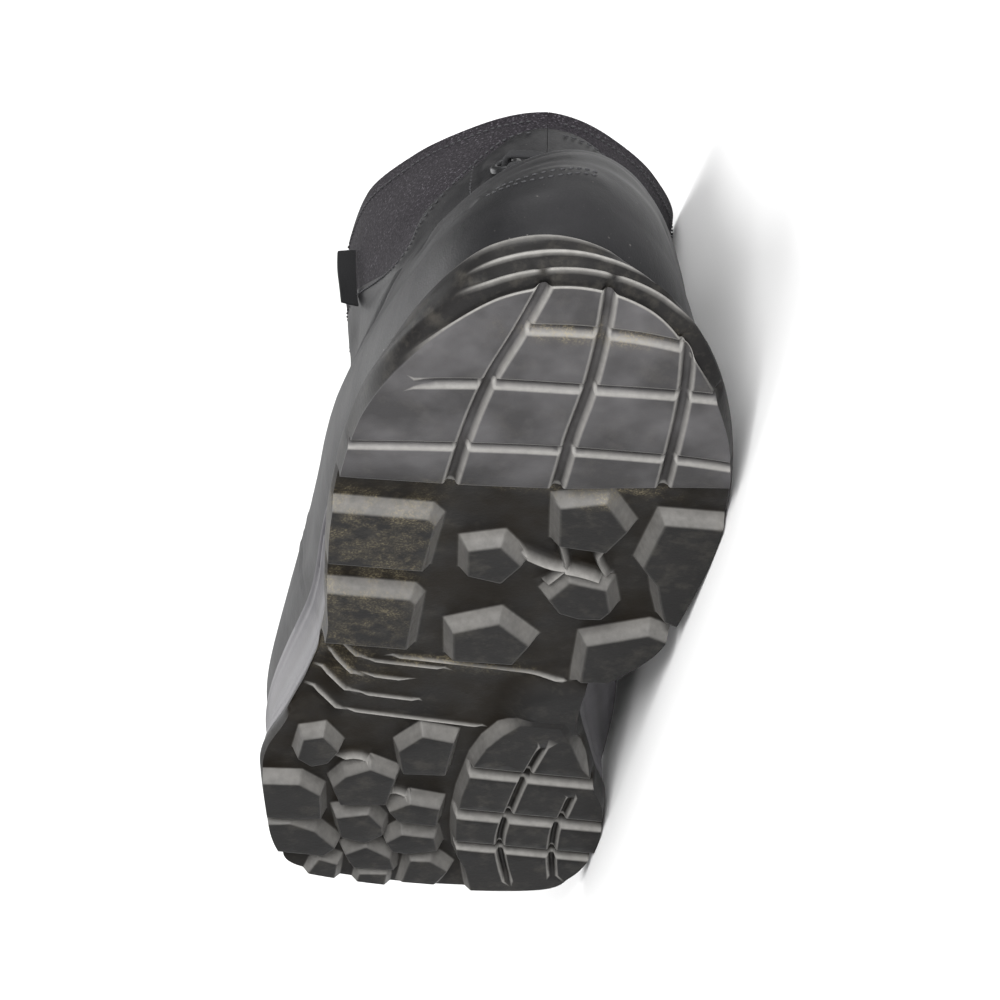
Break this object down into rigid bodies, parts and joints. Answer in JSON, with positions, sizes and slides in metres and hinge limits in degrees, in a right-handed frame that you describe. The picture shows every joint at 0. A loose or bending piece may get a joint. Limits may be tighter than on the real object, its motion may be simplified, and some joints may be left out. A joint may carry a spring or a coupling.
{
  "type": "tactical boot",
  "caption": "Ankle-high laced tactical boot for a right foot, lying on its inner side, with a lugged rubber outsole and a ribbed toe.",
  "frame": {"origin": "middle of the bottom of the boot's box, on the floor it lies on", "axes": "+X runs from heel to toe, the sole faces -Y, the outer side of the foot faces +Z"},
  "size_m": [0.2948, 0.1846, 0.1077],
  "materials": {
    "outsole_rubber": "satin black",
    "midsole_foam": "matte dark grey foam",
    "upper_leather": "smooth black, soft sheen",
    "tongue_textile": "dark knit",
    "insole_felt": "matte felt",
    "lace_cord": "round braided cord",
    "eyelet_metal": "black lacquer",
    "side_label_weave": "woven tape"
  },
  "bodies": {
    "root": {"outsole": "outsole_rubber", "midsole": "midsole_foam", "upper": "upper_leather", "tongue": "tongue_textile", "insole": "insole_felt", "laces": "lace_cord", "eyelet_outer_1": "eyelet_metal", "eyelet_outer_2": "eyelet_metal", "eyelet_outer_3": "eyelet_metal", "eyelet_outer_4": "eyelet_metal", "eyelet_outer_5": "eyelet_metal", "eyelet_inner_1": "eyelet_metal", "eyelet_inner_2": "eyelet_metal", "eyelet_inner_3": "eyelet_metal", "eyelet_inner_4": "eyelet_metal", "eyelet_inner_5": "eyelet_metal", "side_label": "side_label_weave"}
  },
  "joints": []
}
